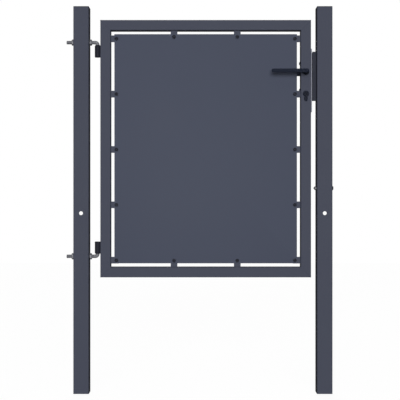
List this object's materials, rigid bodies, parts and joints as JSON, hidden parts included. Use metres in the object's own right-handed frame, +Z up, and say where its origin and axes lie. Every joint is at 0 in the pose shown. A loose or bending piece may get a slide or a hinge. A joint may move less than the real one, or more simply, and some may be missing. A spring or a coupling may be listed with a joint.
{
  "type": "garden gate",
  "caption": "Hinged garden gate: a square-tube leaf with a bolted sheet panel, hung on hook bolts between square posts, with a lever lock and a channel keep.",
  "frame": {"origin": "on the ground under the middle of the whole gate, from the hook bolts' outer ends to the cross bolt's head, and midway through its depth", "axes": "+Z up the posts, +X from the hinge side to the lock side, +Y away from the viewer, through the leaf"},
  "size_m": [1.038, 0.124, 1.5],
  "materials": {
    "anthracite_coat": "fine-textured satin powder coat over steel",
    "black_coat": "satin black powder coat",
    "black_plastic": "moulded",
    "zinc_plate": "bright zinc plate",
    "satin_steel": "satin",
    "nickel_brass": "satin nickel plate over brass",
    "black_zinc": "black zinc plate"
  },
  "bodies": {
    "posts": {"hinge_post": "anthracite_coat", "latch_post": "anthracite_coat", "hinge_post_cap": "black_plastic", "latch_post_cap": "black_plastic", "upper_hook_bolt": "zinc_plate", "lower_hook_bolt": "zinc_plate", "upper_hinge_nut_outer": "zinc_plate", "upper_hinge_nut_inner": "zinc_plate", "lower_hinge_nut_outer": "zinc_plate", "lower_hinge_nut_inner": "zinc_plate", "keep_channel": "black_coat", "keep_screw_upper": "black_zinc", "keep_screw_lower": "black_zinc", "cross_bolt": "black_zinc", "cross_bolt_nut": "black_zinc"},
    "leaf": {"hinge_stile": "anthracite_coat", "lock_stile": "anthracite_coat", "top_rail": "anthracite_coat", "bottom_rail": "anthracite_coat", "panel": "anthracite_coat", "panel_bolt_01": "black_zinc", "panel_bolt_02": "black_zinc", "panel_bolt_03": "black_zinc", "panel_bolt_04": "black_zinc", "panel_bolt_05": "black_zinc", "panel_bolt_06": "black_zinc", "panel_bolt_07": "black_zinc", "panel_bolt_08": "black_zinc", "panel_bolt_09": "black_zinc", "panel_bolt_10": "black_zinc", "panel_bolt_11": "black_zinc", "panel_bolt_12": "black_zinc", "panel_bolt_13": "black_zinc", "panel_bolt_14": "black_zinc", "upper_hinge_barrel": "black_coat", "lower_hinge_barrel": "black_coat", "lock_forend": "satin_steel", "forend_screw_upper": "zinc_plate", "forend_screw_lower": "zinc_plate", "lock_case": "zinc_plate", "lock_case_cover": "zinc_plate", "lock_dome_bolt_upper": "black_zinc", "lock_dome_bolt_lower": "black_zinc", "cylinder_body": "nickel_brass", "cylinder_screw": "zinc_plate", "front_rosette": "black_plastic", "rear_rosette": "black_plastic", "front_escutcheon": "black_coat", "rear_escutcheon": "black_coat"},
    "handle": {"follower": "zinc_plate", "spindle": "zinc_plate", "front_lever": "black_coat", "rear_lever": "black_coat"},
    "latch": {"latch_bolt": "nickel_brass"},
    "bolt": {"dead_bolt": "nickel_brass"},
    "plug": {"cylinder_plug": "nickel_brass", "cylinder_cam": "zinc_plate"}
  },
  "joints": [
    {"name": "gate_swing", "type": "hinge", "parent": "posts", "child": "leaf", "pos_m": [-0.3983, 0, 0.949], "axis": [0, 0, 1], "range_deg": [-90, 90]},
    {"name": "lever_press", "type": "hinge", "parent": "leaf", "child": "handle", "pos_m": [0.4105, 0, 1.247], "axis": [0, -1, 0], "range_deg": [0, 40], "stiffness_Nm_per_rad": 1.2, "springref_deg": -57.3},
    {"name": "latch_slide", "type": "slide", "parent": "leaf", "child": "latch", "axis": [-1, 0, 0], "range_m": [0, 0.0115]},
    {"name": "key_turn", "type": "hinge", "parent": "leaf", "child": "plug", "pos_m": [0.4105, 0, 1.162], "axis": [0, -1, 0], "range_deg": [0, 360]},
    {"name": "bolt_slide", "type": "slide", "parent": "leaf", "child": "bolt", "axis": [1, 0, 0], "range_m": [0, 0.015]}
  ],
  "couplings": [
    {"joint": "latch_slide", "follows": "lever_press", "m_per_rad": 0.016472},
    {"joint": "key_turn", "follows": "bolt_slide", "rad_per_m": 418.87}
  ]
}
